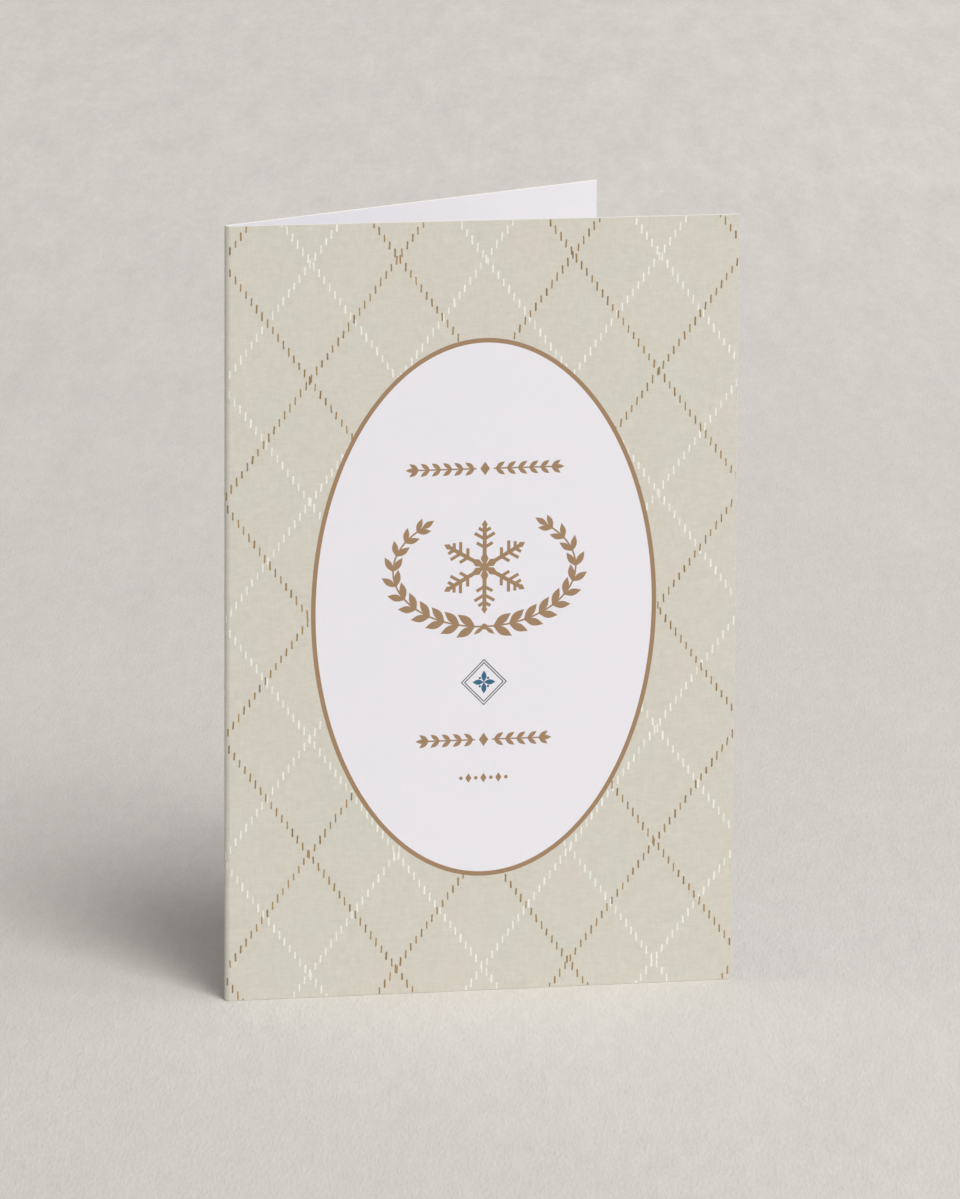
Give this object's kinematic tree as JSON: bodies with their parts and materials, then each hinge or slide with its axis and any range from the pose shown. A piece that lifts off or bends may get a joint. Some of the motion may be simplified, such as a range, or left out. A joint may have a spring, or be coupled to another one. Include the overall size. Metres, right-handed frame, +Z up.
{
  "type": "greeting card",
  "caption": "Folded greeting card of heavy board that stands open on its bottom edges, with an argyle print round a plain oval panel.",
  "frame": {"origin": "on the surface that the card stands on, below the middle of its box", "axes": "+Z up along the fold, the fold at low X, the open side towards +X, the printed front panel on the -Y side and the back panel on the +Y side"},
  "size_m": [0.0976, 0.0574, 0.1524],
  "materials": {
    "board": "matt"
  },
  "bodies": {
    "root": {"card": "board"}
  },
  "joints": []
}
